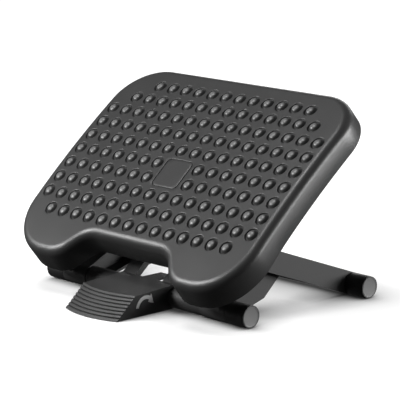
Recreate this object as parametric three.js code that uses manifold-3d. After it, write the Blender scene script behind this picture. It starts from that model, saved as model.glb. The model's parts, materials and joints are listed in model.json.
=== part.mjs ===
// Tilting under desk footrest: a bumped platform on a folding base with a latch pedal.
// Millimetres. X runs across, Y to the back, Z up; the feet stand on Z = 0.
import * as THREE from 'three'
import { mergeVertices } from 'three/addons/utils/BufferGeometryUtils.js'
import Module from 'manifold-3d'

const wasm = await Module()
wasm.setup()

const gap = 0.3 // between pieces that touch
const overrun = 2 // how far a cutter runs past the face it cuts
const rad = Math.PI / 180

// Crossbars: a steel axle in plastic covers, with a rubber foot and a cap at each end.
const axleRadius = 11
const axleBore = 9.5
const footRadius = 15.65
const hubRadius = 15.3
const coverRadius = 14.5
const pedalHubRadius = 14.2
const crossbarInset = 28.7 // each end of a crossbar, short of the platform's side
const capThickness = 2.8
const capRadius = 15.4
const capPlugLength = 12
const axleEndSetback = 4
const rearAxleY = 229.8

// Side frames: an outer arm from the rear crossbar, an inner leg from the front one.
const armInset = 62 // an arm's outer face, in from the platform's side
const armThickness = 12
const armHeight = 31
const armAngle = 19.87 * rad
const armLength = 218.7
const foldDistance = 142.6
const latchShare = 0.577 // place of the latch rod from the fold pin to the tilt pin
const pocketWall = 3.2
const pocketFloor = 3
const pocketCount = 3
const washerThickness = 1.6
const washerRadius = 9
const legThickness = 12.8
const legFootThickness = 34 // of its lower part, on the crossbar
const legFootWall = 4
const legHubSetback = 1 // a leg's hub, short of the arm's outer face
const legKnee = [71.9, 19.6]
const legHeel = [106, 50]
const legShoulder = [43.6, 53.5]
const legInstep = [94, 38.5] // where the lower part ends behind
const legBossRadius = 12.5
const pinRadius = 4
const pinHeadRadius = 7.5
const pinHeadThickness = 2.5
const pinBlindWall = 3
const latchRodRadius = 5

// Platform, in its own frame: Y up the slope from the centre of the bump grid.
const tilt = 39.95 * rad
const plateWidth = 450
const plateBack = 158
const plateFront = 188.6
const plateDepth = 37
const plateSkin = 4.5
const plateWall = 3.5
const wallDraft = 1
const edgeFillet = 11
const crownRadius = 1592
const backCorner = 71
const lobeOuterRadius = 77.6
const lobeInnerRadius = 45.5
const notchRadius = 32.1
const notchHalf = 62.3
const notchDepth = 42.8
const notchFlank = 52 * rad
const pivotForward = 94.3
const pivotDrop = 49.8
const lugThickness = 10
const lugRadius = 13
const lugFoot = 62
const ribThickness = 2.2
const ribHeight = 18
const ribSpacing = 75

// Bumps: a raised point in a round moat on a square grid.
const bumpPitch = 26.75
const bumpRows = 10
const moatRadius = 10.9
const moatFloorRadius = 8.7
const moatDepth = 2
const bumpRise = 1.6
const bumpSides = 8
const cornerSkips = [2, 1, 0, 0, 0, 0, 0, 0, 0, 1] // bumps left out at each end of a row
const squareRows = [5, 6] // rows that leave the middle free for the square
const squareSide = 50.8
const squareCorner = 5
const squareGroove = 1.3
const squareGrooveDepth = 0.8

// Latch pedal on the front crossbar.
const pedalHalf = 52
const pedalReach = 104
const pedalFloor = 0.6
const pedalCrestY = -70
const pedalCrestZ = 30.6
const pedalTopZ = 33.4
const pedalBow = 11
const pedalWall = 3
const treadRibs = 8
const treadGroove = 1.5
const pedalArmInner = 27
const pedalTongueHalf = 12
const pedalTongueBack = 34
const pedalTongueThickness = 3.4
const pedalArmThickness = 9
const hookWidth = 9

// Roundness.
const roundSides = 20
const smallSides = 16
const arcStep = 9 * rad
const lineStep = 50
const filletSteps = 5
const crownSteps = 12
const bowSteps = 8

// Places in the side view, as [y, z] from the point below the front axle.
const along = (from, angle, distance) => [
  from[0] + distance * Math.cos(angle),
  from[1] + distance * Math.sin(angle),
]
const frontAxle = [0, footRadius]
const rearAxle = [rearAxleY, footRadius]
const foldPoint = along(rearAxle, Math.PI - armAngle, foldDistance)
const tiltPoint = along(rearAxle, Math.PI - armAngle, armLength)
const latchDistance = (armLength - foldDistance) * latchShare
const latchPoint = along(foldPoint, Math.PI - armAngle, latchDistance)

// Places across, all for the right side.
const crossbarHalf = plateWidth / 2 - crossbarInset
const armOuterX = plateWidth / 2 - armInset
const armInnerX = armOuterX - armThickness
const legHubOuterX = armOuterX - legHubSetback
const inboardX = armInnerX - washerThickness - 2 * gap // outer face of leg and of lug
const legInnerX = inboardX - legThickness
const legFootX = inboardX - legFootThickness
const lugInnerX = inboardX - lugThickness
const capInnerX = crossbarHalf - capThickness
const footOuterX = capInnerX - gap
const axleHalf = crossbarHalf - axleEndSetback
const seatBore = axleRadius + gap

// Solids from three.js geometry.
const toSideView = new THREE.Matrix4().makeBasis(
  new THREE.Vector3(0, 1, 0),
  new THREE.Vector3(0, 0, 1),
  new THREE.Vector3(1, 0, 0),
)

function solidOf(geometry) {
  geometry.deleteAttribute('normal')
  geometry.deleteAttribute('uv')
  const merged = mergeVertices(geometry)
  return new wasm.Manifold(new wasm.Mesh({
    numProp: 3,
    vertProperties: Float32Array.from(merged.attributes.position.array),
    triVerts: Uint32Array.from(merged.index.array),
  }))
}

const pathOf = (points) => points.map(([y, z]) => new THREE.Vector2(y, z))

// A side outline of [y, z] points, pushed from x0 to x1.
function sidePlate(outline, x0, x1) {
  const shape = new THREE.Shape(pathOf(outline))
  const geometry = new THREE.ExtrudeGeometry(shape, { depth: x1 - x0, bevelEnabled: false })
  geometry.applyMatrix4(toSideView)
  geometry.translate(x0, 0, 0)
  return solidOf(geometry)
}

// Points round a centre, with a flat side at the bottom at exactly the radius given.
function roundOutline(centre, radius, sides) {
  const step = (2 * Math.PI) / sides
  const corner = radius / Math.cos(step / 2)
  return Array.from({ length: sides }, (_, i) => along(centre, step * (i + 1 / 2) - Math.PI / 2, corner))
}

const roundBar = (centre, radius, x0, x1, sides = roundSides) =>
  sidePlate(roundOutline(centre, radius, sides), x0, x1)

function sleeve(centre, outer, inner, x0, x1) {
  const core = roundBar(centre, inner, x0 - overrun, x1 + overrun)
  return roundBar(centre, outer, x0, x1).subtract(core)
}

const joined = (solids) => solids.reduce((all, next) => all.add(next))
const cutBy = (solid, cutters) => cutters.reduce((left, cutter) => left.subtract(cutter), solid)

// A bar with round ends between two centres.
function link(from, to, radius, x0, x1) {
  const angle = Math.atan2(to[1] - from[1], to[0] - from[0])
  const side = angle + Math.PI / 2
  const web = [
    along(from, side, -radius),
    along(to, side, -radius),
    along(to, side, radius),
    along(from, side, radius),
  ]
  return joined([
    sidePlate(web, x0, x1),
    roundBar(from, radius, x0, x1),
    roundBar(to, radius, x0, x1),
  ])
}

const mirrored = (solid) => solid.mirror([1, 0, 0])

// A closed skin built ring by ring.
const flatXY = ([x, y]) => new THREE.Vector2(x, y)
const flatYZ = ([, y, z]) => new THREE.Vector2(y, z)

class Skin {
  constructor() {
    this.points = []
    this.faces = []
  }

  ring(points) {
    const first = this.points.length
    this.points.push(...points)
    return points.map((_, i) => first + i)
  }

  // Faces between two rings of as many points; they look out when the first is the outer or lower one.
  band(outer, inner) {
    outer.forEach((a, i) => {
      const next = (i + 1) % outer.length
      this.faces.push([a, outer[next], inner[i]])
      this.faces.push([outer[next], inner[next], inner[i]])
    })
  }

  fan(rim, tip) {
    rim.forEach((a, i) => this.faces.push([a, rim[(i + 1) % rim.length], tip]))
  }

  fill(rim, holes, flatten, facesUp) {
    const flat = (ring) => ring.map((i) => flatten(this.points[i]))
    const order = [rim, ...holes].flat()
    const triangles = THREE.ShapeUtils.triangulateShape(flat(rim), holes.map(flat))
    triangles.forEach((triangle) => {
      const [a, b, c] = triangle.map((i) => order[i])
      const [p, q, r] = flat([a, b, c])
      const isUp = q.clone().sub(p).cross(r.clone().sub(p)) > 0
      this.faces.push(isUp === facesUp ? [a, b, c] : [a, c, b])
    })
  }

  solid() {
    return new wasm.Manifold(new wasm.Mesh({
      numProp: 3,
      vertProperties: Float32Array.from(this.points.flat()),
      triVerts: Uint32Array.from(this.faces.flat()),
    }))
  }
}

// Platform edge: straights and bends walked round with the inside on the left.
function rightEdge() {
  const points = []
  let at = [0, notchDepth - plateFront]
  let heading = 0
  const mark = () => points.push({ at, out: heading - Math.PI / 2 })
  const straight = (length) => {
    if (length < gap) return
    const steps = Math.max(1, Math.round(length / lineStep))
    for (let i = 0; i < steps; i += 1) {
      mark()
      at = along(at, heading, length / steps)
    }
  }
  const bend = (radius, angle) => {
    const steps = Math.ceil(Math.abs(angle) / arcStep)
    const turn = angle / steps
    for (let i = 0; i < steps; i += 1) {
      mark()
      heading += turn / 2
      at = along(at, heading, 2 * radius * Math.sin(Math.abs(turn) / 2))
      heading += turn / 2
    }
  }
  const bendsDepth = (notchRadius + lobeInnerRadius) * (1 - Math.cos(notchFlank))
  straight(notchHalf)
  bend(notchRadius, -notchFlank)
  straight((notchDepth - bendsDepth) / Math.sin(notchFlank))
  bend(lobeInnerRadius, notchFlank)
  const cornerRadius = Math.min(lobeOuterRadius, plateWidth / 2 - at[0])
  straight(plateWidth / 2 - cornerRadius - at[0])
  bend(cornerRadius, Math.PI / 2)
  straight(plateBack - backCorner - at[1])
  bend(backCorner, Math.PI / 2)
  straight(at[0])
  return points.slice(1)
}

function platformEdge() {
  const right = rightEdge()
  const left = right.map(({ at, out }) => ({ at: [-at[0], at[1]], out: Math.PI - out }))
  return [...right, ...left.reverse()]
}

const edge = platformEdge()
const crown = (y) => -(y * y) / (2 * crownRadius)
const onCrown = ([x, y], height) => [x, y, height + crown(y)]
const edgeRing = (inset, height) =>
  edge.map(({ at, out }) => onCrown(along(at, out, -inset), height))

// The edge rings of a lofted block, from the open bottom up, as [inset, height].
function filletRings() {
  const rings = [[0, -plateDepth - overrun]]
  for (let i = filletSteps; i >= 0; i -= 1) {
    const angle = (i / filletSteps) * (Math.PI / 2)
    const inset = wallDraft + edgeFillet * (1 - Math.sin(angle))
    rings.push([inset, -edgeFillet * (1 - Math.cos(angle))])
  }
  return rings
}

const hollowRings = (inset) => [
  [inset, -plateDepth - 2 * overrun],
  [inset + wallDraft, -edgeFillet],
  [inset + wallDraft + 2 * edgeFillet, edgeFillet],
]

// Lofts the rings and closes the bottom; returns the top ring for the caller to close.
function loftEdge(skin, rings) {
  const indexed = rings.map(([inset, height]) => skin.ring(edgeRing(inset, height)))
  indexed.slice(1).forEach((ring, i) => skin.band(indexed[i], ring))
  skin.fill(indexed[0], [], flatXY, false)
  return indexed[indexed.length - 1]
}

function hollow(inset) {
  const skin = new Skin()
  skin.fill(loftEdge(skin, hollowRings(inset)), [], flatXY, true)
  return skin.solid()
}

// A slab whose top and bottom follow the crown of the platform.
function crownSlab(top, bottom, x0 = -plateWidth, x1 = plateWidth) {
  const front = -plateFront - overrun
  const reach = plateBack + overrun - front
  const places = Array.from({ length: crownSteps + 1 }, (_, i) => front + (reach * i) / crownSteps)
  const under = places.map((y) => [y, bottom + crown(y)])
  const over = places.map((y) => [y, top + crown(y)]).reverse()
  return sidePlate([...under, ...over], x0, x1)
}

// Bumps and the bare square.
const moatReach = moatRadius / Math.cos(Math.PI / bumpSides) // to a corner of its outline
const bumpRoom = plateWidth / 2 - edgeFillet - wallDraft - moatReach // for the centres, each side
const bumpColumns = 2 * Math.floor(bumpRoom / bumpPitch + 1 / 2)
const rowY = (row) => ((bumpRows - 1) / 2 - row) * bumpPitch
const columnX = (column) => (column - (bumpColumns - 1) / 2) * bumpPitch

function bumpCentres() {
  const centres = []
  for (let row = 0; row < bumpRows; row += 1) {
    const skipped = cornerSkips[row]
    for (let column = skipped; column < bumpColumns - skipped; column += 1) {
      const nearMiddle = Math.abs(columnX(column)) < bumpPitch
      if (!(squareRows.includes(row) && nearMiddle)) centres.push([columnX(column), rowY(row)])
    }
  }
  return centres
}

function addBump(skin, centre) {
  const ring = (radius, height) =>
    skin.ring(roundOutline(centre, radius, bumpSides).map((point) => onCrown(point, height)))
  const rim = ring(moatRadius, 0)
  const floor = ring(moatFloorRadius, -moatDepth)
  const [tip] = skin.ring([onCrown(centre, bumpRise)])
  skin.band(rim, floor)
  skin.fan(floor, tip)
  return rim
}

function squareRing(inset, height) {
  const middle = squareRows.reduce((sum, row) => sum + rowY(row), 0) / squareRows.length
  const centre = squareSide / 2 - squareCorner
  const points = []
  for (let corner = 0; corner < 4; corner += 1) {
    const start = (corner * Math.PI) / 2
    const diagonal = along([0, middle], start + Math.PI / 4, centre * Math.SQRT2)
    for (let step = 0; step <= 3; step += 1) {
      const angle = start + (step * Math.PI) / 6
      points.push(onCrown(along(diagonal, angle, squareCorner - inset), height))
    }
  }
  return points
}

function addSquare(skin) {
  const rings = [
    [0, 0],
    [squareGroove / 3, -squareGrooveDepth],
    [(2 * squareGroove) / 3, -squareGrooveDepth],
    [squareGroove, 0],
  ].map(([inset, height]) => skin.ring(squareRing(inset, height)))
  rings.slice(1).forEach((ring, i) => skin.band(rings[i], ring))
  skin.fill(rings[rings.length - 1], [], flatXY, true)
  return rings[0]
}

function bumpedBlock() {
  const skin = new Skin()
  const top = loftEdge(skin, filletRings())
  const holes = bumpCentres().map((centre) => addBump(skin, centre))
  holes.push(addSquare(skin))
  skin.fill(top, holes, flatXY, true)
  return skin.solid()
}

// Underside: ribs both ways and a lug on each side for the tilt pin.
function underRibs() {
  const bottom = -plateSkin - ribHeight
  const root = squareGrooveDepth - plateSkin
  const ribs = []
  for (let i = -2; i < 2; i += 1) {
    const y = (i + 1 / 2) * ribSpacing
    const outline = [
      [y - ribThickness / 2, bottom + crown(y)],
      [y + ribThickness / 2, bottom + crown(y)],
      [y + ribThickness / 2, root + crown(y)],
      [y - ribThickness / 2, root + crown(y)],
    ]
    ribs.push(sidePlate(outline, -plateWidth / 2, plateWidth / 2))
  }
  for (let i = -3; i < 3; i += 1) {
    const x = (i + 1 / 2) * ribSpacing
    ribs.push(crownSlab(root, bottom, x - ribThickness / 2, x + ribThickness / 2))
  }
  return joined(ribs).intersect(hollow(plateWall / 2))
}

function tiltLug() {
  const pin = [-pivotForward, -pivotDrop]
  const web = [
    [pin[0] - lugRadius, pin[1]],
    [pin[0] + lugRadius, pin[1]],
    [pin[0] + lugFoot / 2, 0],
    [pin[0] - lugFoot / 2, 0],
  ]
  const underSkin = crownSlab(squareGrooveDepth - plateSkin, -2 * pivotDrop)
  return sidePlate(web, lugInnerX, inboardX)
    .add(roundBar(pin, lugRadius, lugInnerX, inboardX))
    .intersect(underSkin)
    .subtract(roundBar(pin, pinRadius + gap, lugInnerX - overrun, inboardX + overrun, smallSides))
}

function platformSolid() {
  const shell = bumpedBlock()
    .intersect(crownSlab(edgeFillet, -plateDepth))
    .subtract(hollow(plateWall).intersect(crownSlab(-plateSkin, -2 * plateDepth)))
  const lug = tiltLug()
  return joined([shell, underRibs(), lug, mirrored(lug)])
}

// Crossbar pieces; each takes the axle centre it sits on.
const axle = (centre) => sleeve(centre, axleRadius, axleBore, -axleHalf, axleHalf)
const foot = (centre, innerX) => sleeve(centre, footRadius, seatBore, innerX, footOuterX)

function endCap(centre) {
  const disc = roundBar(centre, capRadius, capInnerX, crossbarHalf)
  const plug = roundBar(centre, axleBore - gap, capInnerX - capPlugLength, capInnerX)
  const seat = roundBar(centre, seatBore, axleHalf + gap, capInnerX)
  return joined([disc, plug, seat])
}

// A pin put in from inside: its head outside the swinging piece, its end blind in the arm.
function headedPin(centre, headSideX) {
  const headOuter = headSideX - gap
  const shaftEnd = armOuterX - pinBlindWall - gap
  const head = roundBar(centre, pinHeadRadius, headOuter - pinHeadThickness, headOuter, smallSides)
  return head.add(roundBar(centre, pinRadius, headOuter, shaftEnd, smallSides))
}

function washer(centre) {
  const core = roundBar(centre, pinRadius + gap, inboardX, armInnerX, smallSides)
  return roundBar(centre, washerRadius, inboardX + gap, armInnerX - gap).subtract(core)
}

// A convex outline moved inwards by a wall thickness.
function insetOutline(outline, wall) {
  const edges = outline.map((point, i) => {
    const next = outline[(i + 1) % outline.length]
    const heading = Math.atan2(next[1] - point[1], next[0] - point[0])
    return { start: along(point, heading + Math.PI / 2, wall), heading }
  })
  return edges.map((edge, i) => {
    const before = edges[(i + edges.length - 1) % edges.length]
    const turn = Math.sin(edge.heading - before.heading)
    const [dy, dz] = [edge.start[0] - before.start[0], edge.start[1] - before.start[1]]
    const reach = (dy * Math.sin(edge.heading) - dz * Math.cos(edge.heading)) / turn
    return along(before.start, before.heading, reach)
  })
}

// The leg stands on the crossbar with a thick lower part that is hollow from the inner side.
function frontLeg() {
  const outline = [
    frontAxle,
    along(frontAxle, (-3 * Math.PI) / 8, hubRadius),
    legKnee,
    legHeel,
    along(foldPoint, -Math.PI / 4, legBossRadius),
    along(foldPoint, (3 * Math.PI) / 4, legBossRadius),
    [foldPoint[0] - legBossRadius, legShoulder[1]],
    legShoulder,
    along(frontAxle, (5 * Math.PI) / 8, hubRadius),
  ]
  const footOutline = [
    along(frontAxle, (-3 * Math.PI) / 8, hubRadius),
    legKnee,
    legInstep,
    legShoulder,
    along(frontAxle, (5 * Math.PI) / 8, hubRadius),
  ]
  const lower = sidePlate(footOutline, legFootX, legInnerX)
    .subtract(sidePlate(insetOutline(footOutline, legFootWall), legFootX - overrun, legInnerX))
  const body = joined([
    lower,
    sidePlate(outline, legInnerX, inboardX),
    roundBar(foldPoint, legBossRadius, legInnerX, inboardX),
    roundBar(frontAxle, hubRadius, legFootX, legHubOuterX),
  ])
  return cutBy(body, [
    roundBar(frontAxle, seatBore, legFootX - overrun, legHubOuterX + overrun),
    roundBar(foldPoint, pinRadius + gap, legInnerX - overrun, inboardX + overrun, smallSides),
  ])
}

// Hollows on the hidden face of the arm, with cross ribs left between them.
function armPockets() {
  const halfHeight = armHeight / 2 - pocketWall
  const start = seatBore + 2 * pocketWall
  const reach = foldDistance - legBossRadius - start
  const pitch = reach / pocketCount
  const heading = Math.PI - armAngle
  const side = heading + Math.PI / 2
  return Array.from({ length: pocketCount }, (_, i) => {
    const near = along(rearAxle, heading, start + i * pitch)
    const far = along(rearAxle, heading, start + (i + 1) * pitch - pocketWall)
    const outline = [
      along(near, side, -halfHeight),
      along(far, side, -halfHeight),
      along(far, side, halfHeight),
      along(near, side, halfHeight),
    ]
    return sidePlate(outline, armInnerX - overrun, armOuterX - pocketFloor)
  })
}

function rearArm() {
  const blindX = armOuterX - pinBlindWall
  const socket = (centre, radius, sides) =>
    roundBar(centre, radius + gap, armInnerX - overrun, blindX, sides)
  return cutBy(link(rearAxle, tiltPoint, armHeight / 2, armInnerX, armOuterX), [
    ...armPockets(),
    roundBar(rearAxle, seatBore, armInnerX - overrun, armOuterX + overrun),
    socket(foldPoint, pinRadius, smallSides),
    socket(tiltPoint, pinRadius, smallSides),
    socket(latchPoint, latchRodRadius, smallSides),
  ])
}

function latchRod() {
  const end = armOuterX - pinBlindWall - gap
  return roundBar(latchPoint, latchRodRadius, -end, end, smallSides)
}

// Pedal: a ribbed foot plate with a bowed front, hollow below, on a hub round the axle.
const treadAngle = Math.atan2(pedalCrestZ - pedalFloor, pedalReach + pedalCrestY)
const treadLength = Math.hypot(pedalCrestZ - pedalFloor, pedalReach + pedalCrestY)
const treadShares = [[0, 1], [0.25, 0], [0.8, 0]] // along one rib and into the groove
const bowAt = (x) => pedalBow * (1 - (x / pedalHalf) ** 2)
const shifted = (points, shift) => points.map(([y, z]) => [y - shift, z])

function treadOutline() {
  const points = []
  const crest = [pedalCrestY, pedalCrestZ]
  const pitch = treadLength / treadRibs
  const into = treadAngle - Math.PI / 2
  for (let rib = 0; rib < treadRibs; rib += 1) {
    treadShares.forEach(([alongShare, depthShare]) => {
      const place = along(crest, treadAngle, -(rib + alongShare) * pitch)
      points.push(along(place, into, depthShare * treadGroove))
    })
  }
  return points
}

// Lofts a side outline across X, its front moved out by the bow.
function bowedBlock(front, back, half) {
  const skin = new Skin()
  const rings = []
  for (let i = 0; i <= bowSteps; i += 1) {
    const x = half * ((2 * i) / bowSteps - 1)
    const outline = [...back, ...shifted(front, bowAt(x))]
    rings.push(skin.ring(outline.map(([y, z]) => [x, y, z])))
  }
  rings.slice(1).forEach((ring, i) => skin.band(rings[i], ring))
  skin.fill(rings[0], [], flatYZ, false)
  skin.fill(rings[bowSteps], [], flatYZ, true)
  return skin.solid()
}

function pedalShell() {
  const back = [[0, pedalFloor], [0, pedalTopZ]]
  const front = [...treadOutline(), [-pedalReach, pedalFloor]]
  const inset = (pedalWall + treadGroove) / Math.sin(treadAngle)
  const ceiling = pedalCrestZ - pedalWall
  const hollowBack = -(pedalHubRadius + pedalWall)
  const hollowBackSide = [[hollowBack, pedalFloor - overrun], [hollowBack, ceiling]]
  const slope = Math.tan(treadAngle)
  const hollowFront = [
    [inset - pedalReach + (ceiling - pedalFloor) / slope, ceiling],
    [inset - pedalReach - overrun / slope, pedalFloor - overrun],
  ]
  return bowedBlock(front, back, pedalHalf)
    .subtract(bowedBlock(hollowFront, hollowBackSide, pedalHalf - pedalWall))
}

// The pedal's arms pass under the latch rod and hook up behind it. The hook's working edge
// is an arc round the fold pin, so the rod stays in reach of it at every height.
const foldRange = 12 * rad
const hookStart = Math.PI - armAngle - 10 * rad
const hookEnd = Math.PI - armAngle + foldRange + 28 * rad
const hookSteps = 8
const bendShare = 0.35 // of the way from the pedal's back edge to the rod

function hookOutline() {
  const outer = latchDistance - latchRodRadius - gap
  const arc = (radius, angle) => along(foldPoint, angle, radius)
  const angles = Array.from({ length: hookSteps + 1 }, (_, i) =>
    hookStart + ((hookEnd - hookStart) * i) / hookSteps)
  return [
    ...angles.map((angle) => arc(outer, angle)),
    ...angles.reverse().map((angle) => arc(outer - hookWidth, angle)),
  ]
}

function pedalArm() {
  const root = [0, pedalTopZ]
  const bendAt = along(root, tilt, (latchPoint[0] * bendShare) / Math.cos(tilt))
  const below = tilt - Math.PI / 2
  const hookRoot = along(foldPoint, hookEnd - 12 * rad, latchDistance - latchRodRadius - gap)
  const hookFoot = along(foldPoint, hookEnd, latchDistance - latchRodRadius - hookWidth)
  const bar = [
    along(root, Math.PI, pedalArmThickness),
    [-pedalArmThickness, footRadius],
    along(root, -Math.PI / 4, pedalArmThickness),
    along(bendAt, below, pedalArmThickness),
    hookFoot,
    hookRoot,
    bendAt,
    root,
  ]
  return sidePlate(bar, pedalArmInner, pedalHalf)
    .add(sidePlate(hookOutline(), pedalArmInner, pedalHalf))
}

function pedalSolid() {
  const tongue = [
    [pedalCrestY / 2, pedalTopZ - pedalTongueThickness],
    [pedalTongueBack, pedalTopZ - pedalTongueThickness],
    [pedalTongueBack, pedalTopZ],
    [0, pedalTopZ],
  ]
  const arm = pedalArm()
  const body = joined([
    pedalShell(),
    roundBar(frontAxle, pedalHubRadius, -pedalHalf, pedalHalf),
    sidePlate(tongue, -pedalTongueHalf, pedalTongueHalf),
    arm,
    mirrored(arm),
  ])
  return body.subtract(roundBar(frontAxle, seatBore, -pedalHalf - overrun, pedalHalf + overrun))
}

// Finishes.
const finish = (color, roughness, metalness = 0) =>
  new THREE.MeshStandardMaterial({ color, roughness, metalness })
const blackPlastic = finish(0x2b2b2c, 0.62)
const framePlastic = finish(0x242425, 0.55)
const capPlastic = finish(0x6f6f70, 0.5)
const footRubber = finish(0x161616, 0.85)
const steel = finish(0xa8a8aa, 0.35, 1)
const nylon = finish(0xd8d6cf, 0.5)

function meshOf(name, solid, material) {
  const { vertProperties, triVerts } = solid.getMesh()
  const geometry = new THREE.BufferGeometry()
  geometry.setAttribute('position', new THREE.BufferAttribute(vertProperties, 3))
  geometry.setIndex(new THREE.BufferAttribute(triVerts, 1))
  const faceted = geometry.toNonIndexed()
  faceted.computeVertexNormals()
  const mesh = new THREE.Mesh(faceted, material)
  mesh.name = name
  return mesh
}

// One piece on the right and its mirror image on the left.
const bothSides = (name, solid, material) => [
  meshOf(`${name}_right`, solid, material),
  meshOf(`${name}_left`, mirrored(solid), material),
]

function frontFrame() {
  const group = new THREE.Group()
  group.add(
    meshOf('front_axle', axle(frontAxle), steel),
    ...bothSides('front_cover', sleeve(frontAxle, coverRadius, seatBore, pedalHalf + gap, legFootX - gap),
      framePlastic),
    ...bothSides('front_leg', frontLeg(), framePlastic),
    ...bothSides('front_foot', foot(frontAxle, legHubOuterX + gap), footRubber),
    ...bothSides('front_end_cap', endCap(frontAxle), capPlastic),
  )
  return group
}

function rearFrame() {
  const group = new THREE.Group()
  group.add(
    meshOf('rear_axle', axle(rearAxle), steel),
    meshOf('rear_cover', sleeve(rearAxle, coverRadius, seatBore, gap - armInnerX, armInnerX - gap),
      framePlastic),
    ...bothSides('rear_arm', rearArm(), framePlastic),
    ...bothSides('rear_foot', foot(rearAxle, armOuterX + gap), footRubber),
    ...bothSides('rear_end_cap', endCap(rearAxle), capPlastic),
    ...bothSides('fold_pin', headedPin(foldPoint, legInnerX), steel),
    ...bothSides('fold_washer', washer(foldPoint), nylon),
    ...bothSides('tilt_pin', headedPin(tiltPoint, lugInnerX), steel),
    ...bothSides('tilt_washer', washer(tiltPoint), nylon),
    meshOf('latch_rod', latchRod(), steel),
  )
  return group
}

function platform() {
  const group = new THREE.Group()
  const pivoted = platformSolid().translate([0, pivotForward, pivotDrop])
  group.add(meshOf('platform', pivoted, blackPlastic))
  group.rotation.x = tilt
  group.position.set(0, ...tiltPoint)
  return group
}

// The whole part, with its origin on the floor under the middle of its length and width.
const front = -(pedalReach + pedalBow)
const rear = rearAxleY + footRadius / Math.cos(Math.PI / roundSides)
const footrest = new THREE.Group()
footrest.add(frontFrame(), rearFrame(), platform(), meshOf('pedal', pedalSolid(), blackPlastic))
footrest.position.y = -(front + rear) / 2

export default footrest
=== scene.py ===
# Tilting under desk footrest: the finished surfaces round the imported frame. Metres, Z up.
import bpy
import json
import math
from mathutils import Matrix, Vector, geometry, kdtree

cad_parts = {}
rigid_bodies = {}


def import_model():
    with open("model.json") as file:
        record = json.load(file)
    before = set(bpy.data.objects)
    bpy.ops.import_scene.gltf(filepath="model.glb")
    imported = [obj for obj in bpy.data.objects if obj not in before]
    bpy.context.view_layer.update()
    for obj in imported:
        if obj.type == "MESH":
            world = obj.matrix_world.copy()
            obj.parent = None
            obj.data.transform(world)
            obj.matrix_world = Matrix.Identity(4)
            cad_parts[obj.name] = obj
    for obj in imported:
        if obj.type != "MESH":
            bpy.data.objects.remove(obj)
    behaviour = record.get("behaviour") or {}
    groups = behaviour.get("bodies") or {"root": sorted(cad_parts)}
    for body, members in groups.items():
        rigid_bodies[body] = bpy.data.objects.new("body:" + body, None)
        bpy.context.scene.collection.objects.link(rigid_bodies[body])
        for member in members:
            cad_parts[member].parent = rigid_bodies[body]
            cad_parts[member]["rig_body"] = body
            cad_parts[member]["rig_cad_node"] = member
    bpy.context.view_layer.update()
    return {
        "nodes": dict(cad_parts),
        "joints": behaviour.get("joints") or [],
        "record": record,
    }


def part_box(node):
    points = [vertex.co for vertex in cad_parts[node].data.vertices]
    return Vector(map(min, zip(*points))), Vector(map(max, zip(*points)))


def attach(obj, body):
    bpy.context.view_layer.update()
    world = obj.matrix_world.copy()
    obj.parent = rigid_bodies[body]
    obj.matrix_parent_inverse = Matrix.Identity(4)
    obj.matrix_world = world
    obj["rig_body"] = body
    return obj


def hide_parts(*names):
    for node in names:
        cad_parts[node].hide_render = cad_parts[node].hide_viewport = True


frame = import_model()
bpy.context.scene.tool_settings.mesh_select_mode = (False, False, True)
MM = 0.001
JOINTS = {joint["name"]: joint for joint in frame["joints"]}

# Platform, in its own frame: y up the slope from the middle of the bump grid.
TILT = math.radians(39.95)
PIVOT_FORWARD = 94.3 * MM
PIVOT_DROP = 49.8 * MM
HALF_WIDTH = 225 * MM
BACK = 158 * MM
FRONT = 188.6 * MM
DEPTH = 37 * MM
FRONT_DROP = 3.5 * MM
FRONT_DROP_FROM = -70 * MM
SKIN = 4.5 * MM
WALL = 3.5 * MM
EDGE_FILLET = 11.4 * MM
WALL_DRAFT = 0.5 * MM
RIM_ROUND = 0.9 * MM
CROWN_RADIUS = 1592 * MM
BACK_CORNER = 71 * MM
LOBE_OUTER = 77.6 * MM
LOBE_INNER = 45.5 * MM
NOTCH_BEND = 32.1 * MM
NOTCH_HALF = 62.3 * MM
NOTCH_DEPTH = 42.8 * MM
NOTCH_FLANK = math.radians(52)
ARC_STEP = math.radians(4)
FILLET_STEPS = 9
LINE_STEP = 12 * MM
FLAT_MARGIN = 0.5 * MM
GRID_CLEARANCE = 1.5 * MM
FILL_TOLERANCE = 0.0001 * MM
SHELL_SMOOTH_DEGREES = 50
# The round between the skin and the inner wall, as shares of the edge fillet: inwards, down.
INNER_ROUND_SHARES = ((0.8, 0), (0.45, 0.12), (0.12, 0.45), (0, 0.8))
RIM_CORNER_SHARE = 0.3

# Bumps and the bare square. A spacing is the distance between the points that fill a surface.
PITCH = 26.75 * MM
TOP_SPACING = PITCH / 2
CEILING_SPACING = PITCH
SQUARE_SPACING = PITCH / 4
COLUMNS = 16
ROWS = 10
ROW_SKIPS = (2, 1, 0, 0, 0, 0, 0, 0, 0, 1)
SQUARE_ROWS = (5, 6)
BUMP_SIDES = 26
# One bump from its rim to its top, in millimetres: radius, height.
BUMP_PROFILE = (
    (11.4, 0.0), (11.0, 0.0), (10.6, -0.1), (10.2, -0.5), (9.8, -1.2), (9.4, -2.0), (8.8, -2.4),
    (8.3, -2.2), (7.7, -1.4), (7.1, -0.5), (6.5, 0.35), (5.7, 1.2), (4.7, 1.9), (3.6, 2.35), (2.4, 2.65),
    (1.2, 2.8),
)
BUMP_TOP = 2.85
SQUARE_SIDE = 50.8 * MM
SQUARE_CORNER = 9 * MM
SQUARE_STEPS = 8
# The groove round the square from outside to inside, in millimetres: inset, height.
SQUARE_PROFILE = ((0, 0), (0.4, -0.2), (0.8, -1.1), (1.6, -1.1), (2.0, -0.2), (2.4, 0))
# How much of the groove's depth goes into its relief value, which paints shade into the groove.
SQUARE_SHADE = 0.9

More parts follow.
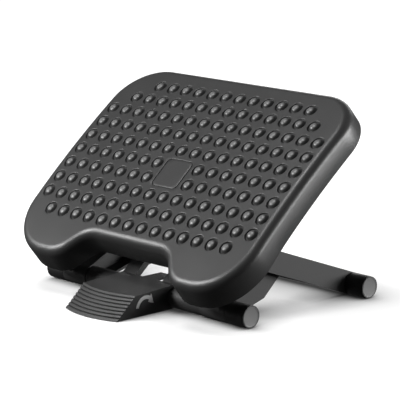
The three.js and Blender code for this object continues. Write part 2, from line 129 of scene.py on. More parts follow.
# Ribs below.
RIB_SPACING = 75 * MM
RIB_THICKNESS = 2.2 * MM
RIB_HEIGHT = 18 * MM
RIB_STEPS = 12
RIB_CORNER_STEPS = 5
RIB_ROOT = 1 * MM
RIB_ROUND = 0.3 * MM
RIBS_ACROSS = 4
RIBS_ALONG = 6

# The lug on each side that the tilt pin passes through.
PIN_HEAD = 2.8 * MM
LUG_THICKNESS = 10 * MM
LUG_RADIUS = 13 * MM
LUG_FOOT_HALF = 31 * MM
LUG_STEPS = 24
LUG_ROUND = 0.8 * MM

# Crossbars. The frame's round pieces have flat sides; the tubes here lie inside their corners.
FLAT_SIDES = 20
BAR_SIDES = 96
END_FACING = 0.9
AXLE_BORE = 11.3 * MM
SLEEVE_ROUND = 0.6 * MM
TUBE_ROUND = 0.4 * MM
CAP_THICKNESS = 2.8 * MM
CAP_RIM = 1.5 * MM
CAP_RIM_ROUND = 0.4 * MM
CAP_BORDER = 1 * MM
CAP_STEP = 0.6 * MM
CAP_SINK = 0.4 * MM
CAP_ROUND = 0.3 * MM
PLUG_LENGTH = 12 * MM
PLUG_RADIUS = 9.2 * MM
PLUG_ROUND = 0.5 * MM
PLUG_SIDES = 48

# Moulded pieces of the frame.
MERGE_DISTANCE = 0.001 * MM
FLAT_DEGREES = 0.5
SHARP_DEGREES = 32
FRAME_ROUND = 0.8 * MM
PEDAL_ROUND = 0.3 * MM

# The pedal's tread, from the point below the front axle: y, z.
TREAD_CREST = (-70 * MM, 30.6 * MM)
TREAD_TOE = (-104 * MM, 0.6 * MM)
TREAD_SLOPE = math.atan2(TREAD_CREST[1] - TREAD_TOE[1], TREAD_CREST[0] - TREAD_TOE[0])
TREAD_BOW = 11 * MM
TREAD_HALF = 52 * MM
TREAD_GROOVE = 1.5 * MM
# The relief value on the tread ribs' outer faces, which paints a highlight on them.
TREAD_PAINTED_HIGHLIGHT = 0.45
# How far above and below the ribs' outer face a corner counts as tread, as shares of the groove.
TREAD_SPAN_SHARES = (-0.5, 1.2)
# A face that looks further to one side than this is a rib's end and not tread.
TREAD_FACING = 0.5

# The arrow on the pedal's side. Its angles in degrees: start, neck of the head, tip.
ARROW_FORWARD = 53 * MM
ARROW_HEIGHT = 10 * MM
ARROW_RADIUS = 15 * MM
ARROW_HALF = 2.5 * MM
ARROW_HEAD_HALF = 6 * MM
ARROW_DEGREES = (172, 62, 18)
ARROW_STEPS = 18
ARROW_ROOT = 0.3 * MM
ARROW_RISE = 0.45 * MM
ARROW_ROUND = 0.15 * MM

# Finishes. Each pair for roughness is the least value and what the pattern adds to it.
NOISE_DETAIL = 3.0
NOISE_ROUGHNESS = 0.55
# Where the mix node keeps its factor, its two colours and its result.
MIX_FACTOR = 0
MIX_COLOURS = (6, 7)
MIX_RESULT = 2
# A painted highlight lightens the tops of bumps and ribs, and painted shade darkens moats and grooves.
GRAIN_SCALE = 800.0
GRAIN_STRENGTH = 0.35
GRAIN_HEIGHT = 0.5 * MM
CLOUD_SCALE = 22.0
CLOUD_TONE = 0.07
CLOUD_ROUGHNESS = 0.1
PAINTED_SHADE_TONE = 0.2
SUNK_ROUGHNESS = 0.3
PAINTED_HIGHLIGHT_TONE = 4.2
PAINTED_HIGHLIGHT_GAIN = 1.8
PAINTED_HIGHLIGHT_START = 0.6
STREAK_STRETCH = (4.0, 160.0, 160.0)
STREAK_SCALE = 9.0
STREAK_STRENGTH = 0.08
STREAK_HEIGHT = 0.3 * MM
STEEL_TONES = (0.42, 0.6)
STEEL_ROUGHNESS = (0.25, 0.2)
RUBBER_GRAIN_SCALE = 900.0
RUBBER_GRAIN_STRENGTH = 0.15
RUBBER_GRAIN_HEIGHT = 0.3 * MM
DUST_SCALE = 40.0
DUST_DETAIL = 4.0
RUBBER_TONES = (0.006, 0.013)
RUBBER_ROUGHNESS = (0.42, 0.15)

# Stage. The floor's painted shadow, a fade: near and far distance from its place, and the brightness at
# each.
FLOOR_SIZE = 30
FLOOR_DROP = 0.2 * MM
FLOOR_TONE = 0.35
FLOOR_ROUGHNESS = 0.9
FLOOR_PAINTED_SHADOW_PLACE = (0.08, 0.14, 0)
FLOOR_PAINTED_SHADOW_FADE = (0.08, 0.22, 0.72, 1.0)
# How far the floor's painted contact shadow reaches from the object.
FLOOR_CONTACT_SHADOW_REACH = 0.065
FLOOR_SAMPLES = 16
# World light: the lowest and highest direction, and the strength at each.
WORLD_RAMP = (0.0, 0.8, 0.06, 0.2)
# Each lamp: name, place, aim, width and height, watts.
LAMPS = (
    ("front_box", (-1.05, -1.35, 0.95), (0, 0, 0.15), (1.0, 0.4), 42),
    ("edge_box", (-1.35, -1.3, 0.5), (0, 0, 0.1), (0.6, 0.25), 5),
    ("top_box", (-0.45, -0.45, 1.95), (0, 0, 0.1), (0.4, 0.4), 17),
    ("right_box", (2.4, 2.2, 0.4), (0, 0, 0.12), (2.8, 0.9), 135),
    ("back_fill", (-1.2, 2.3, 0.9), (0, 0, 0.12), (1.6, 0.8), 12),
)
SENSOR_WIDTH = 36
LENS = 193.3
CLIP_END = 50
CAMERA_RIGHT = (0.6934, 0.7205, 0.0012)
CAMERA_UP = (-0.1465, 0.1394, 0.9794)
# The camera's place from the front axle along Y, and from the origin along X and Z.
CAMERA_PLACE = (2.0878, -1.9137, 0.7257)


# Tools for modelling.
def deselect():
    if bpy.context.object and bpy.context.object.mode != "OBJECT":
        bpy.ops.object.mode_set(mode="OBJECT")
    bpy.ops.object.select_all(action="DESELECT")


def choose(piece):
    deselect()
    piece.select_set(True)
    bpy.context.view_layer.objects.active = piece


def edit(piece):
    choose(piece)
    bpy.ops.object.mode_set(mode="EDIT")
    bpy.ops.mesh.select_all(action="SELECT")


def leave_edit():
    bpy.ops.object.mode_set(mode="OBJECT")


def settle(piece):
    """Puts the piece's place into its mesh."""
    choose(piece)
    bpy.ops.object.transform_apply(location=True, rotation=True, scale=True)


def smooth(piece, degrees=30):
    choose(piece)
    bpy.ops.object.shade_smooth_by_angle(angle=math.radians(degrees))


def apply_modifier(piece, kind, **settings):
    choose(piece)
    modifier = piece.modifiers.new(kind.title(), kind)
    for key, value in settings.items():
        setattr(modifier, key, value)
    bpy.ops.object.modifier_apply(modifier=modifier.name)


def bevel_edges(piece, width, segments=3, degrees=30):
    apply_modifier(piece, "BEVEL", width=width, segments=segments, limit_method="ANGLE",
                   angle_limit=math.radians(degrees), use_clamp_overlap=True)


def join(pieces, name):
    deselect()
    for piece in pieces:
        piece.select_set(True)
    bpy.context.view_layer.objects.active = pieces[0]
    if len(pieces) > 1:
        bpy.ops.object.join()
    pieces[0].name = name
    return pieces[0]


def mesh_piece(name, points, faces):
    mesh = bpy.data.meshes.new(name)
    mesh.from_pydata(points, [], faces)
    mesh.validate()
    piece = bpy.data.objects.new(name, mesh)
    bpy.context.scene.collection.objects.link(piece)
    return piece


# Materials.
class Socket:
    """A value in a node tree that takes Python's sums."""

    def __init__(self, tree, link):
        self.tree = tree
        self.link = link

    def math(self, operation, *others):
        return self.tree.add("ShaderNodeMath", {"operation": operation}, [self, *others])

    def __add__(self, other):
        return self.math("ADD", other)

    def __sub__(self, other):
        return self.math("SUBTRACT", other)

    def __rsub__(self, other):
        return self.tree.add("ShaderNodeMath", {"operation": "SUBTRACT"}, [other, self])

    def __mul__(self, other):
        return self.math("MULTIPLY", other)

    __radd__ = __add__
    __rmul__ = __mul__

    def clamp(self):
        return self.tree.add("ShaderNodeClamp", {}, {"Value": self}, "Result")


class Finish:
    """One material: its nodes, and the shader that they feed."""

    def __init__(self, name):
        self.material = bpy.data.materials.new(name)
        self.material.use_nodes = True
        self.tree = self.material.node_tree
        self.shader = self.tree.nodes["Principled BSDF"]

    def add(self, kind, settings, values, output=0):
        node = self.tree.nodes.new(kind)
        for key, value in settings.items():
            setattr(node, key, value)
        pairs = values.items() if isinstance(values, dict) else enumerate(values)
        for key, value in pairs:
            self.feed(node.inputs[key], value)
        return Socket(self, node.outputs[output])

    def feed(self, target, value):
        if isinstance(value, Socket):
            self.tree.links.new(value.link, target)
        else:
            target.default_value = value

    def set(self, **sockets):
        for key, value in sockets.items():
            self.feed(self.shader.inputs[key.replace("_", " ")], value)

    def place(self):
        return self.add("ShaderNodeTexCoord", {}, {}, "Object")

    def noise(self, scale, detail=NOISE_DETAIL):
        return self.add("ShaderNodeTexNoise", {}, {
            "Vector": self.place(), "Scale": scale, "Detail": detail, "Roughness": NOISE_ROUGHNESS,
        }, "Fac")

    def mix(self, factor, first, second):
        start, end = MIX_COLOURS
        return self.add("ShaderNodeMix", {"data_type": "RGBA"}, {
            MIX_FACTOR: factor, start: first, end: second,
        }, MIX_RESULT)

    def bump(self, height, strength, distance):
        return self.add("ShaderNodeBump", {}, {
            "Height": height, "Strength": strength, "Distance": distance,
        }, "Normal")


def grey(level):
    return (level, level, level, 1.0)


def moulded_plastic(name, level, roughness, relief=False, shine=0.5):
    finish = Finish(name)
    grain = finish.noise(GRAIN_SCALE)
    cloud = finish.noise(CLOUD_SCALE)
    tone = finish.mix(cloud, grey(level * (1 - CLOUD_TONE)), grey(level * (1 + CLOUD_TONE)))
    rough = roughness - CLOUD_ROUGHNESS / 2 + cloud * CLOUD_ROUGHNESS
    if relief:
        height = finish.add("ShaderNodeAttribute", {"attribute_name": "relief"}, {}, "Fac")
        # Painted shade: the sunk parts are darkened.
        sunk = (height * -1.0).clamp()
        tone = finish.mix(sunk, tone, grey(level * PAINTED_SHADE_TONE))
        # Painted highlight: the raised parts are lightened.
        painted_highlight = (height * PAINTED_HIGHLIGHT_GAIN - PAINTED_HIGHLIGHT_START).clamp()
        tone = finish.mix(painted_highlight, tone, grey(level * PAINTED_HIGHLIGHT_TONE))
        rough = rough + sunk * SUNK_ROUGHNESS
    finish.set(Base_Color=tone, Roughness=rough, Specular_IOR_Level=shine,
               Normal=finish.bump(grain, GRAIN_STRENGTH, GRAIN_HEIGHT))
    return finish.material


def brushed_steel(name):
    finish = Finish(name)
    streak = finish.add("ShaderNodeMapping", {}, {"Vector": finish.place(), "Scale": STREAK_STRETCH})
    lines = finish.add("ShaderNodeTexNoise", {}, {
        "Vector": streak, "Scale": STREAK_SCALE, "Detail": NOISE_DETAIL,
    }, "Fac")
    smoothest, added = STEEL_ROUGHNESS
    finish.set(Base_Color=finish.mix(lines, *map(grey, STEEL_TONES)), Metallic=1.0,
               Roughness=lines * added + smoothest,
               Normal=finish.bump(lines, STREAK_STRENGTH, STREAK_HEIGHT))
    return finish.material


def soft_rubber(name):
    finish = Finish(name)
    grain = finish.noise(RUBBER_GRAIN_SCALE)
    dust = finish.noise(DUST_SCALE, DUST_DETAIL)
    smoothest, added = RUBBER_ROUGHNESS
    finish.set(Base_Color=finish.mix(dust, *map(grey, RUBBER_TONES)), Roughness=dust * added + smoothest,
               Normal=finish.bump(grain, RUBBER_GRAIN_STRENGTH, RUBBER_GRAIN_HEIGHT))
    return finish.material


MATERIALS = {
    "platform_plastic": moulded_plastic("platform_plastic", level=0.028, roughness=0.39, relief=True),
    "frame_plastic": moulded_plastic("frame_plastic", level=0.035, roughness=0.55, shine=0.3),
    "cap_plastic": moulded_plastic("cap_plastic", level=0.105, roughness=0.48),
    "foot_rubber": soft_rubber("foot_rubber"),
    "steel": brushed_steel("steel"),
    "nylon": moulded_plastic("nylon", level=0.6, roughness=0.45),
}


def finish_piece(piece, slot, body, *nodes):
    piece.data.materials.clear()
    piece.data.materials.append(MATERIALS[slot])
    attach(piece, body)
    if nodes:
        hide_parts(*nodes)


# The platform's edge: straights and bends walked round with the inside on the left.
def step_from(place, angle, distance):
    return (place[0] + distance * math.cos(angle), place[1] + distance * math.sin(angle))


class EdgeWalk:
    def __init__(self, start):
        self.place = start
        self.heading = 0.0
        self.marks = []

    def mark(self):
        self.marks.append((self.place, self.heading - math.pi / 2))

    def straight(self, length):
        steps = max(1, round(length / LINE_STEP))
        for _ in range(steps):
            self.mark()
            self.place = step_from(self.place, self.heading, length / steps)

    def bend(self, radius, angle):
        steps = math.ceil(abs(angle) / ARC_STEP)
        turn = angle / steps
        for _ in range(steps):
            self.mark()
            self.heading += turn / 2
            self.place = step_from(self.place, self.heading, 2 * radius * math.sin(abs(turn) / 2))
            self.heading += turn / 2


def platform_edge():
    walk = EdgeWalk((0.0, NOTCH_DEPTH - FRONT))
    bends = (NOTCH_BEND + LOBE_INNER) * (1 - math.cos(NOTCH_FLANK))
    walk.straight(NOTCH_HALF)
    walk.bend(NOTCH_BEND, -NOTCH_FLANK)
    walk.straight((NOTCH_DEPTH - bends) / math.sin(NOTCH_FLANK))
    walk.bend(LOBE_INNER, NOTCH_FLANK)
    walk.straight(HALF_WIDTH - LOBE_OUTER - walk.place[0])
    walk.bend(LOBE_OUTER, math.pi / 2)
    walk.straight(BACK - BACK_CORNER - walk.place[1])
    walk.bend(BACK_CORNER, math.pi / 2)
    walk.straight(walk.place[0])
    right = walk.marks[1:]
    left = [((-x, y), math.pi - out) for (x, y), out in reversed(right)]
    return right + left


EDGE = platform_edge()
TO_ROW = (
    Matrix.Translation(JOINTS["tilt"]["pos_m"])
    @ Matrix.Rotation(TILT, 4, "X")
    @ Matrix.Translation((0, PIVOT_FORWARD, PIVOT_DROP))
)


def crown(y):
    return -y * y / (2 * CROWN_RADIUS)


def on_crown(place, height):
    return Vector((place[0], place[1], height + crown(place[1])))


def front_drop(y, height):
    """The wall grows a little deeper towards the front."""
    share = min(1, max(0, (FRONT_DROP_FROM - y) / (FRONT_DROP_FROM + FRONT)))
    return FRONT_DROP * share * min(1, max(0, (-height - EDGE_FILLET) / (DEPTH - EDGE_FILLET)))


def edge_ring(inset, height):
    return [on_crown(step_from(place, out, -inset), height - front_drop(place[1], height))
            for place, out in EDGE]


class Skin:
    """Points and faces gathered ring by ring, with a relief value for each point."""

    def __init__(self):
        self.points = []
        self.relief = []
        self.faces = []

    def ring(self, points, relief=0.0):
        first = len(self.points)
        self.points.extend(points)
        self.relief.extend([relief] * len(points))
        return list(range(first, len(self.points)))

    def band(self, outer, inner):
        for i, corner in enumerate(outer):
            after = (i + 1) % len(outer)
            self.faces.append((corner, outer[after], inner[after], inner[i]))

    def fan(self, rim, tip):
        for i, corner in enumerate(rim):
            self.faces.append((corner, rim[(i + 1) % len(rim)], tip))

    def triangle(self, corners, facing_up):
        first, second, third = (self.points[i] for i in corners)
        turn = (second - first).to_2d().cross((third - first).to_2d())
        self.faces.append(corners if (turn > 0) == facing_up else corners[::-1])

    def fill(self, rim, holes, height, spacing, facing_up=True):
        """Closes the space between a rim and its holes, with inner points that follow the crown."""
        loops = [rim, *holes]
        order = [i for loop in loops for i in loop]
        flat = [self.points[i].to_2d() for i in order]
        edges = []
        first = 0
        for loop in loops:
            edges += [(first + i, first + (i + 1) % len(loop)) for i in range(len(loop))]
            first += len(loop)
        outlines = [[self.points[i].to_2d() for i in loop] for loop in holes]
        grid = [spot for spot in grid_clear_of(flat, spacing)
                if not any(is_inside(spot, outline) for outline in outlines)]
        spots, _, triangles, *_ = geometry.delaunay_2d_cdt(flat + grid, edges, [], 1, FILL_TOLERANCE)
        used = sorted({i for corners in triangles for i in corners if i >= len(order)})
        place = dict(zip(used, self.ring([on_crown(spots[i], height) for i in used])))
        place.update(enumerate(order))
        hole_of = {i: number for number, loop in enumerate(holes) for i in loop}
        for corners in triangles:
            found = tuple(place[i] for i in corners)
            sides = {hole_of.get(i) for i in found}
            if len(sides) > 1 or None in sides:
                self.triangle(found, facing_up)

    def piece(self, name, matrix):
        piece = mesh_piece(name, [matrix @ point for point in self.points], self.faces)
        values = piece.data.attributes.new("relief", "FLOAT", "POINT")
        values.data.foreach_set("value", self.relief)
        return piece


def grid_clear_of(outline, spacing):
    """Grid points over an outline's extent, none of them close to one of its points."""
    tree = kdtree.KDTree(len(outline))
    for i, point in enumerate(outline):
        tree.insert(point.to_3d(), i)
    tree.balance()
    reach = [max(abs(point[axis]) for point in outline) for axis in (0, 1)]
    counts = [math.floor(length / spacing) for length in reach]
    spots = [Vector((column * spacing, row * spacing)) for row in range(-counts[1], counts[1] + 1)
             for column in range(-counts[0], counts[0] + 1)]
    return [spot for spot in spots if tree.find(spot.to_3d())[2] > GRID_CLEARANCE]


def is_inside(spot, outline):
    low, high = (choice(point.y for point in outline) for choice in (min, max))
    if not low < spot.y < high:
        return False
    crossings = 0
    for i, start in enumerate(outline):
        end = outline[(i + 1) % len(outline)]
        if (start.y > spot.y) != (end.y > spot.y):
            share = (spot.y - start.y) / (end.y - start.y)
            crossings += start.x + share * (end.x - start.x) > spot.x
    return crossings % 2 == 1


def shell_rings():
    """The shell from its ceiling, down the inner wall, round the lower rim and up to the top."""
    inner_draft = WALL + WALL_DRAFT
    corner = RIM_ROUND * RIM_CORNER_SHARE
    rings = [(inner_draft + EDGE_FILLET * inwards, -SKIN - EDGE_FILLET * down)
             for inwards, down in INNER_ROUND_SHARES]
    rings += [
        (WALL, -DEPTH + RIM_ROUND),
        (WALL - corner, -DEPTH + corner),
        (WALL - RIM_ROUND, -DEPTH),
        (RIM_ROUND, -DEPTH),
        (corner, -DEPTH + corner),
        (0, -DEPTH + RIM_ROUND),
    ]
    for i in range(FILLET_STEPS, -1, -1):
        angle = math.pi / 2 * i / FILLET_STEPS
        rings.append((
            WALL_DRAFT + EDGE_FILLET * (1 - math.sin(angle)),
            -EDGE_FILLET * (1 - math.cos(angle)),
        ))
    rings.append((WALL_DRAFT + EDGE_FILLET + FLAT_MARGIN, 0))
    return rings


def bump_places():
    for row in range(ROWS):
        y = ((ROWS - 1) / 2 - row) * PITCH
        for column in range(ROW_SKIPS[row], COLUMNS - ROW_SKIPS[row]):
            x = (column - (COLUMNS - 1) / 2) * PITCH
            if not (row in SQUARE_ROWS and abs(x) < PITCH):
                yield (x, y)


def add_bump(skin, centre):
    rings = []
    deepest = min(height for _, height in BUMP_PROFILE)
    for radius, height in BUMP_PROFILE:
        points = [
            on_crown(step_from(centre, math.tau * i / BUMP_SIDES, radius * MM), height * MM)
            for i in range(BUMP_SIDES)
        ]
        # The relief value paints shade into the moat and a highlight on the dome's top.
        relief = height / -deepest if height < 0 else height / BUMP_TOP
        rings.append(skin.ring(points, relief))
    for outer, inner in zip(rings, rings[1:]):
        skin.band(outer, inner)
    tip = skin.ring([on_crown(centre, BUMP_TOP * MM)], 1.0)[0]
    skin.fan(rings[-1], tip)
    return rings[0]


def square_ring(inset, height):
    middle = (0, ((ROWS - 1) / 2 - sum(SQUARE_ROWS) / len(SQUARE_ROWS)) * PITCH)
    reach = SQUARE_SIDE / 2 - SQUARE_CORNER
    points = []
    for corner in range(4):
        start = corner * math.pi / 2
        centre = step_from(middle, start + math.pi / 4, reach * math.sqrt(2))
        for step in range(SQUARE_STEPS + 1):
            angle = start + math.pi / 2 * step / SQUARE_STEPS
            points.append(on_crown(step_from(centre, angle, SQUARE_CORNER - inset), height))
    return points


def add_square(skin):
    rings = [skin.ring(square_ring(inset * MM, height * MM), height * SQUARE_SHADE)
             for inset, height in SQUARE_PROFILE]
    for outer, inner in zip(rings, rings[1:]):
        skin.band(outer, inner)
    skin.fill(rings[-1], [], 0, SQUARE_SPACING)
    return rings[0]


def platform_shell():
    skin = Skin()
    rings = [skin.ring(edge_ring(inset, height)) for inset, height in shell_rings()]
    for lower, upper in zip(rings, rings[1:]):
        skin.band(lower, upper)
    skin.fill(rings[0], [], -SKIN, CEILING_SPACING, False)
    holes = [add_bump(skin, centre) for centre in bump_places()]
    holes.append(add_square(skin))
    skin.fill(rings[-1], holes, 0, TOP_SPACING)
    piece = skin.piece("platform_shell", TO_ROW)
    smooth(piece, SHELL_SMOOTH_DEGREES)
    finish_piece(piece, "platform_plastic", "platform", "platform")


# Ribs and lugs below the platform.
def wall_hits(axis, value):
    """Where the inner wall crosses a line of constant x or y, from one side to the other."""
    ring = [point.to_2d() for point in edge_ring(WALL - RIB_ROOT, 0)]
    hits = []
    for i, start in enumerate(ring):
        end = ring[(i + 1) % len(ring)]
        if (start[axis] > value) != (end[axis] > value):
            share = (value - start[axis]) / (end[axis] - start[axis])
            hits.append(start[1 - axis] + share * (end[1 - axis] - start[1 - axis]))
    return min(hits), max(hits)


def rib(axis, value):
    """A thin plate from wall to wall whose upper corners follow the round inside the skin."""
    low, high = wall_hits(axis, value)
    corner = EDGE_FILLET - RIB_ROOT
    ends = [corner * (1 - math.cos(math.pi / 2 * i / RIB_CORNER_STEPS)) for i in range(RIB_CORNER_STEPS)]
    inner = [low + corner + (high - low - 2 * corner) * i / RIB_STEPS for i in range(RIB_STEPS + 1)]
    reaches = [low + end for end in ends] + inner + [high - end for end in reversed(ends)]
    points = []
    for reach in reaches:
        inset = min(reach - low, high - reach, corner)
        drop = corner - math.sqrt(corner ** 2 - (corner - inset) ** 2)
        top = RIB_ROOT - SKIN - drop
        for side, height in ((-1, -SKIN - RIB_HEIGHT), (1, -SKIN - RIB_HEIGHT), (1, top), (-1, top)):
            place = [0, 0]
            place[axis] = value + side * RIB_THICKNESS / 2
            place[1 - axis] = reach
            points.append(TO_ROW @ on_crown(place, height))
    last = 4 * (len(reaches) - 1)
    faces = [(0, 1, 2, 3), tuple(last + i for i in (3, 2, 1, 0))]
    for base in range(0, last, 4):
        for i in range(4):
            after = (i + 1) % 4
            faces.append((base + i, base + 4 + i, base + 4 + after, base + after))
    piece = mesh_piece("rib", points, faces)
    edit(piece)
    bpy.ops.mesh.normals_make_consistent(inside=False)
    leave_edit()
    return piece


def platform_ribs():
    ribs = []
    for axis, count in ((1, RIBS_ACROSS), (0, RIBS_ALONG)):
        ribs += [rib(axis, (i - (count - 1) / 2) * RIB_SPACING) for i in range(count)]
    piece = join(ribs, "platform_ribs")
    bevel_edges(piece, RIB_ROUND, 2)
    smooth(piece)
    finish_piece(piece, "platform_plastic", "platform", "platform")


def tilt_lug(side):
    """The web below the platform that the tilt pin passes through."""
    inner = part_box("tilt_pin_right")[0].x + PIN_HEAD
    pin = (-PIVOT_FORWARD, -PIVOT_DROP)
    outline = [step_from(pin, math.pi * (i / LUG_STEPS - 1), LUG_RADIUS) for i in range(LUG_STEPS + 1)]
    for share in (1, -1):
        y = pin[0] + share * LUG_FOOT_HALF
        outline.append((y, crown(y) - SKIN + RIB_ROOT))
    points = [TO_ROW @ Vector((side * x, y, z)) for x in (inner, inner + LUG_THICKNESS) for y, z in outline]
    piece = plate_between(f"tilt_lug_{'right' if side > 0 else 'left'}", points)
    bevel_edges(piece, LUG_ROUND)
    smooth(piece)
    finish_piece(piece, "platform_plastic", "platform", "platform")


def plate_between(name, points):
    """A plate whose points list one face's outline and then the other's."""
    half = len(points) // 2
    faces = [tuple(range(half)), tuple(range(2 * half - 1, half - 1, -1))]
    for i in range(half):
        after = (i + 1) % half
        faces.append((i, half + i, half + after, after))
    piece = mesh_piece(name, points, faces)
    edit(piece)
    bpy.ops.mesh.normals_make_consistent(inside=False)
    leave_edit()
    return piece


# Crossbars: round pieces turned along X.
def is_end(face, side):
    return face.normal.x * side > END_FACING


def select_ends(piece, sides=(1, -1)):
    bpy.ops.mesh.select_all(action="DESELECT")
    leave_edit()
    for face in piece.data.polygons:
        face.select = any(is_end(face, side) for side in sides)
    bpy.ops.object.mode_set(mode="EDIT")


def round_bar(name, centre, radius, ends, sides=BAR_SIDES):
    deselect()
    bpy.ops.mesh.primitive_cylinder_add(
        vertices=sides, radius=radius, depth=max(ends) - min(ends),
        location=(sum(ends) / 2, centre.y, centre.z), rotation=(0, math.pi / 2, 0))
    piece = bpy.context.object
    piece.name = name
    settle(piece)
    return piece


def hollow_bar(name, centre, radius, bore, ends):
    piece = round_bar(name, centre, radius, ends)
    edit(piece)
    select_ends(piece)
    bpy.ops.mesh.inset(thickness=radius - bore, use_individual=True)
    bpy.ops.mesh.bridge_edge_loops()
    leave_edit()
    return piece


def round_place(node):
    """The centre of a round node, the radius to the middle of its flat sides, and its ends."""
    low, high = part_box(node)
    return (low + high) / 2, (high.y - low.y) / 2 * math.cos(math.pi / FLAT_SIDES), (low.x, high.x)


def tube(name, slot, body, node, rounding):
    """A smooth tube in the place of a faceted one."""
    centre, radius, ends = round_place(node)
    piece = hollow_bar(name, centre, radius, AXLE_BORE, ends)
    bevel_edges(piece, rounding)
    smooth(piece)
    finish_piece(piece, slot, body, node)


def end_cap(name, body, node, side):
    """A grey disc inside a thin black rim, on a plug that goes into the axle."""
    centre, radius, ends = round_place(node)
    outer = ends[1] if side > 0 else ends[0]
    inner = outer - side * CAP_THICKNESS
    ring = hollow_bar(f"{name}_rim", centre, radius, radius - CAP_RIM, (inner, outer))
    bevel_edges(ring, CAP_RIM_ROUND)
    smooth(ring)
    finish_piece(ring, "foot_rubber", body, node)
    disc = round_bar(name, centre, radius - CAP_RIM, (inner, outer))
    edit(disc)
    select_ends(disc, [side])
    bpy.ops.mesh.inset(thickness=CAP_BORDER)
    bpy.ops.mesh.inset(thickness=CAP_STEP, depth=-CAP_SINK)
    leave_edit()
    bevel_edges(disc, CAP_ROUND)
    plug = round_bar("plug", centre, PLUG_RADIUS, (inner - side * PLUG_LENGTH, inner), PLUG_SIDES)
    bevel_edges(plug, PLUG_ROUND, 2)
    piece = join([disc, plug], name)
    smooth(piece)
    finish_piece(piece, "cap_plastic", body, node)


# Moulded pieces that keep the frame's shape and get soft edges.
def softened(node, name, slot, body, width):
    piece = frame["nodes"][node].copy()
    piece.data = piece.data.copy()
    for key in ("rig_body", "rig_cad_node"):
        if key in piece:
            del piece[key]
    piece.parent = None
    piece.name = name
    bpy.context.scene.collection.objects.link(piece)
    edit(piece)
    bpy.ops.mesh.remove_doubles(threshold=MERGE_DISTANCE)
    bpy.ops.mesh.dissolve_limited(angle_limit=math.radians(FLAT_DEGREES))
    leave_edit()
    bevel_edges(piece, width, degrees=SHARP_DEGREES)
    smooth(piece, SHARP_DEGREES)
    apply_modifier(piece, "WEIGHTED_NORMAL", keep_sharp=True)
    finish_piece(piece, slot, body, node)
    return piece


def tread_depth(point):
    """How far a point lies below the outer face of the tread's ribs."""
    bow = TREAD_BOW * (1 - (point.x / TREAD_HALF) ** 2)
    y = point.y - JOINTS["pedal_lift"]["pos_m"][1] + bow - TREAD_CREST[0]
    return y * math.sin(TREAD_SLOPE) - (point.z - TREAD_CREST[1]) * math.cos(TREAD_SLOPE)


def mark_tread(piece):
    """Gives the ribs' outer faces a relief value that paints a highlight on them, and the grooves one that
    paints shade.
    """
    values = piece.data.attributes.new("relief", "FLOAT", "CORNER").data
    above, below = TREAD_SPAN_SHARES
    for face in piece.data.polygons:
        depths = [tread_depth(piece.data.vertices[i].co) / TREAD_GROOVE for i in face.vertices]
        if abs(face.normal.x) < TREAD_FACING and all(above < depth < below for depth in depths):
            for corner, depth in zip(face.loop_indices, depths):
                values[corner].value = TREAD_PAINTED_HIGHLIGHT - (1 + TREAD_PAINTED_HIGHLIGHT) * min(1, max(0, depth))


# The sign on the pedal's side: a plain curved arrow, slightly raised.
def lift_arrow():
    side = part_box("pedal")[1].x
    centre = (JOINTS["pedal_lift"]["pos_m"][1] - ARROW_FORWARD, ARROW_HEIGHT)
    start, neck, tip = (math.radians(angle) for angle in ARROW_DEGREES)
    angles = [start + (neck - start) * i / ARROW_STEPS for i in range(ARROW_STEPS + 1)]
    outline = [step_from(centre, angle, ARROW_RADIUS + ARROW_HALF) for angle in angles]
    outline.append(step_from(centre, neck, ARROW_RADIUS + ARROW_HEAD_HALF))
    outline.append(step_from(centre, tip, ARROW_RADIUS))
    outline.append(step_from(centre, neck, ARROW_RADIUS - ARROW_HEAD_HALF))
    outline += [step_from(centre, angle, ARROW_RADIUS - ARROW_HALF) for angle in reversed(angles)]
    points = [Vector((x, y, z)) for x in (side - ARROW_ROOT, side + ARROW_RISE) for y, z in outline]
    piece = plate_between("lift_arrow", points)
    bevel_edges(piece, ARROW_ROUND, 2)
    smooth(piece)
    finish_piece(piece, "nylon", "pedal")


# Stage: floor, lamps, camera.
def floor():
    """Glows white to the camera through a painted shadow below the object and a painted contact shadow
    close beside it, and takes the lamps' own shadows on its grey.
    """
    deselect()
    bpy.ops.mesh.primitive_plane_add(size=FLOOR_SIZE, location=(0, 0, -FLOOR_DROP))
    plane = bpy.context.object
    plane.name = "floor"
    finish = Finish("floor")
    distance = finish.add("ShaderNodeVectorMath", {"operation": "DISTANCE"},
                          [finish.place(), FLOOR_PAINTED_SHADOW_PLACE], "Value")
    near, far, low, high = FLOOR_PAINTED_SHADOW_FADE
    painted_shadow_fade = ((distance - near) * (1 / (far - near))).clamp() * (high - low) + low
    seen = finish.add("ShaderNodeLightPath", {}, {}, "Is Camera Ray")
    open_sky = finish.add("ShaderNodeAmbientOcclusion", {"samples": FLOOR_SAMPLES},
                          {"Distance": FLOOR_CONTACT_SHADOW_REACH}, "AO")
    # The glow to the camera carries painted shadow: a fade round a set place, and ambient occlusion squared
    # beside the object.
    finish.set(Base_Color=grey(FLOOR_TONE), Roughness=FLOOR_ROUGHNESS, Specular_IOR_Level=0.0,
               Emission_Color=(1, 1, 1, 1), Emission_Strength=seen * painted_shadow_fade * open_sky * open_sky)
    plane.data.materials.append(finish.material)
    plane.visible_diffuse = False
    plane.visible_glossy = False


def area_lamp(name, place, aim, size, power):
    deselect()
    bpy.ops.object.light_add(type="AREA", location=place)
    lamp = bpy.context.object
    lamp.name = name
    lamp.data.shape = "RECTANGLE"
    lamp.data.size, lamp.data.size_y = size
    lamp.data.energy = power
    lamp.visible_camera = False
    lamp.rotation_euler = (Vector(aim) - Vector(place)).to_track_quat("-Z", "Y").to_euler()


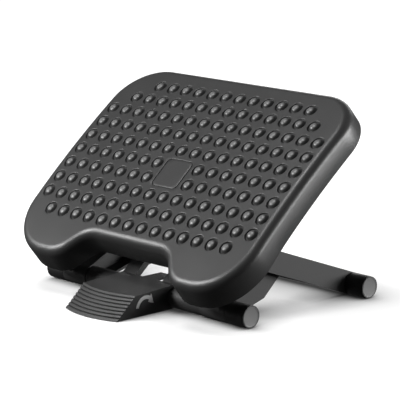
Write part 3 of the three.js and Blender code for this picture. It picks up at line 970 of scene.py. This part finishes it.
def world_light():
    world = bpy.data.worlds.new("studio")
    bpy.context.scene.world = world
    world.use_nodes = True
    tree = world.node_tree
    path = tree.nodes.new("ShaderNodeLightPath")
    white = tree.nodes.new("ShaderNodeBackground")
    white.inputs["Color"].default_value = (1, 1, 1, 1)
    dim = tree.nodes.new("ShaderNodeBackground")
    mixed = tree.nodes.new("ShaderNodeMixShader")
    direction = tree.nodes.new("ShaderNodeTexCoord")
    parts = tree.nodes.new("ShaderNodeSeparateXYZ")
    ramp = tree.nodes.new("ShaderNodeMapRange")
    tree.links.new(direction.outputs["Generated"], parts.inputs[0])
    tree.links.new(parts.outputs["Z"], ramp.inputs["Value"])
    for key, value in zip(("From Min", "From Max", "To Min", "To Max"), WORLD_RAMP):
        ramp.inputs[key].default_value = value
    tree.links.new(ramp.outputs["Result"], dim.inputs["Strength"])
    tree.links.new(path.outputs["Is Camera Ray"], mixed.inputs[0])
    tree.links.new(dim.outputs[0], mixed.inputs[1])
    tree.links.new(white.outputs[0], mixed.inputs[2])
    tree.links.new(mixed.outputs[0], tree.nodes["World Output"].inputs["Surface"])


def camera():
    data = bpy.data.cameras.new("camera")
    data.sensor_width = SENSOR_WIDTH
    data.lens = LENS
    data.clip_end = CLIP_END
    eye = bpy.data.objects.new("camera", data)
    bpy.context.scene.collection.objects.link(eye)
    right = Vector(CAMERA_RIGHT)
    up = Vector(CAMERA_UP)
    turn = Matrix((right, up, right.cross(up))).transposed().to_4x4()
    x, y, z = CAMERA_PLACE
    eye.matrix_world = Matrix.Translation((x, JOINTS["pedal_lift"]["pos_m"][1] + y, z)) @ turn
    bpy.context.scene.camera = eye


def finish_nodes():
    """Gives every node of the frame the finish of its slot."""
    slots = {row["node"]: row["material_slot"] for row in frame["record"]["subparts"]}
    for node, item in frame["nodes"].items():
        item.data.materials.clear()
        item.data.materials.append(MATERIALS[slots[node]])


camera()
platform_shell()
platform_ribs()
for side in (1, -1):
    tilt_lug(side)
for hand, side in (("right", 1), ("left", -1)):
    for end, body in (("front", "front_frame"), ("rear", "rear_frame")):
        tube(f"{end}_sleeve_{hand}", "foot_rubber", body, f"{end}_foot_{hand}", SLEEVE_ROUND)
        end_cap(f"{end}_cap_{hand}", body, f"{end}_end_cap_{hand}", side)
    tube(f"front_tube_{hand}", "frame_plastic", "front_frame", f"front_cover_{hand}", TUBE_ROUND)
    softened(f"front_leg_{hand}", f"leg_{hand}", "frame_plastic", "front_frame", FRAME_ROUND)
    softened(f"rear_arm_{hand}", f"arm_{hand}", "frame_plastic", "rear_frame", FRAME_ROUND)
tube("rear_tube", "frame_plastic", "rear_frame", "rear_cover", TUBE_ROUND)
mark_tread(softened("pedal", "foot_pedal", "platform_plastic", "pedal", PEDAL_ROUND))
lift_arrow()
finish_nodes()

floor()
world_light()
for lamp in LAMPS:
    area_lamp(*lamp)
bpy.context.scene.view_settings.view_transform = "Standard"
